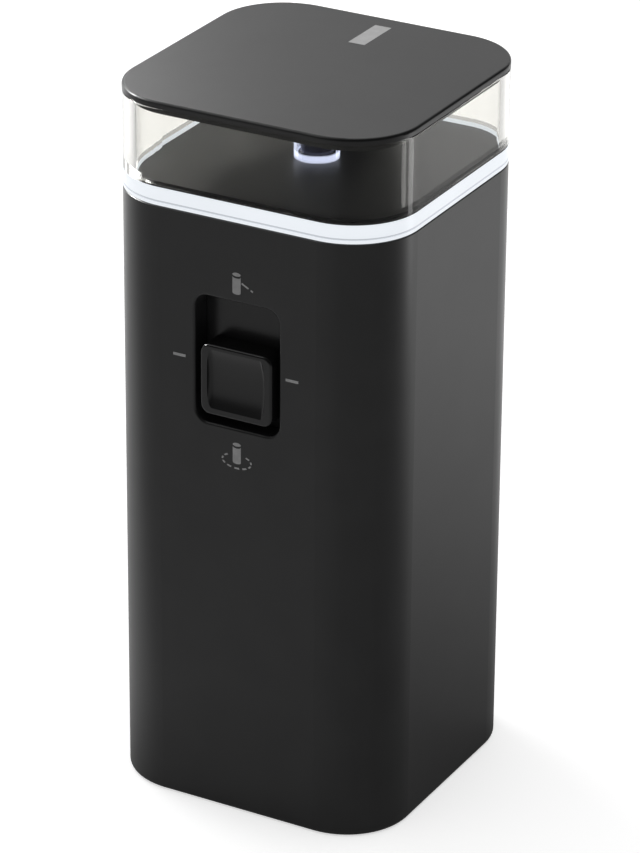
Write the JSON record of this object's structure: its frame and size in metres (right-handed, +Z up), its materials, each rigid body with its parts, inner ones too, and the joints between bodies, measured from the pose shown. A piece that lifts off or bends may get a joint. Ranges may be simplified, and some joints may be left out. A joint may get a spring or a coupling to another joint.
{
  "type": "robot vacuum virtual wall",
  "caption": "Square black post with rounded corners that sends an infrared barrier through a clear window above a lit ring, with a mode slider on its front face.",
  "frame": {"origin": "middle of the base, on the surface it stands on", "axes": "+Z up, -Y towards the user: the slider's face; the beam leaves along +Y"},
  "size_m": [0.054, 0.0544, 0.1284],
  "materials": {
    "shell_black": "fine satin moulded texture",
    "knob_black": "smooth satin",
    "inner_black": "plain moulded",
    "clear": "polished clear plastic",
    "ring_white": "milky light guide",
    "lamp_dark": "dark clear epoxy",
    "lamp_white": "small lamp",
    "mirror_cone": "bright coated",
    "board_green": "solder mask",
    "part_black": "moulded",
    "part_grey": "plain can",
    "coil_brown": "ferrite",
    "steel": "nickel plated",
    "cell_jacket": "printed film, left plain",
    "lead_jacket": "soft jacket"
  },
  "bodies": {
    "post": {"housing": "shell_black", "light_ring": "ring_white", "window_band": "clear", "top_cap": "shell_black", "halo_reflector": "mirror_cone", "halo_emitter": "lamp_dark", "emitter_lens": "clear", "beam_emitter": "lamp_dark", "beam_tube": "inner_black", "deck": "inner_black", "light_board": "board_green", "ring_leds": "lamp_white", "main_board": "board_green", "board_link": "part_black", "controller_chip": "part_black", "boost_coil": "coil_brown", "storage_capacitor": "part_grey", "mode_switch": "part_grey", "slide_guide": "inner_black", "deck_screws": "steel", "board_screws": "steel", "case_screws": "steel", "base_tray": "inner_black", "cell_left": "cell_jacket", "cell_right": "cell_jacket", "terminal_positive": "steel", "terminal_negative": "steel", "battery_leads": "lead_jacket"},
    "slider": {"mode_slider": "knob_black", "switch_lever": "part_black"},
    "door": {"battery_door": "shell_black", "bridge_contact": "steel"}
  },
  "joints": [
    {"name": "mode_slide", "type": "slide", "parent": "post", "child": "slider", "axis": [0, 0, 1], "range_m": [0, 0.0068]},
    {"name": "door_swing", "type": "hinge", "parent": "post", "child": "door", "pos_m": [0, 0.0121, 0.001], "axis": [1, 0, 0], "range_deg": [0, 70]}
  ]
}
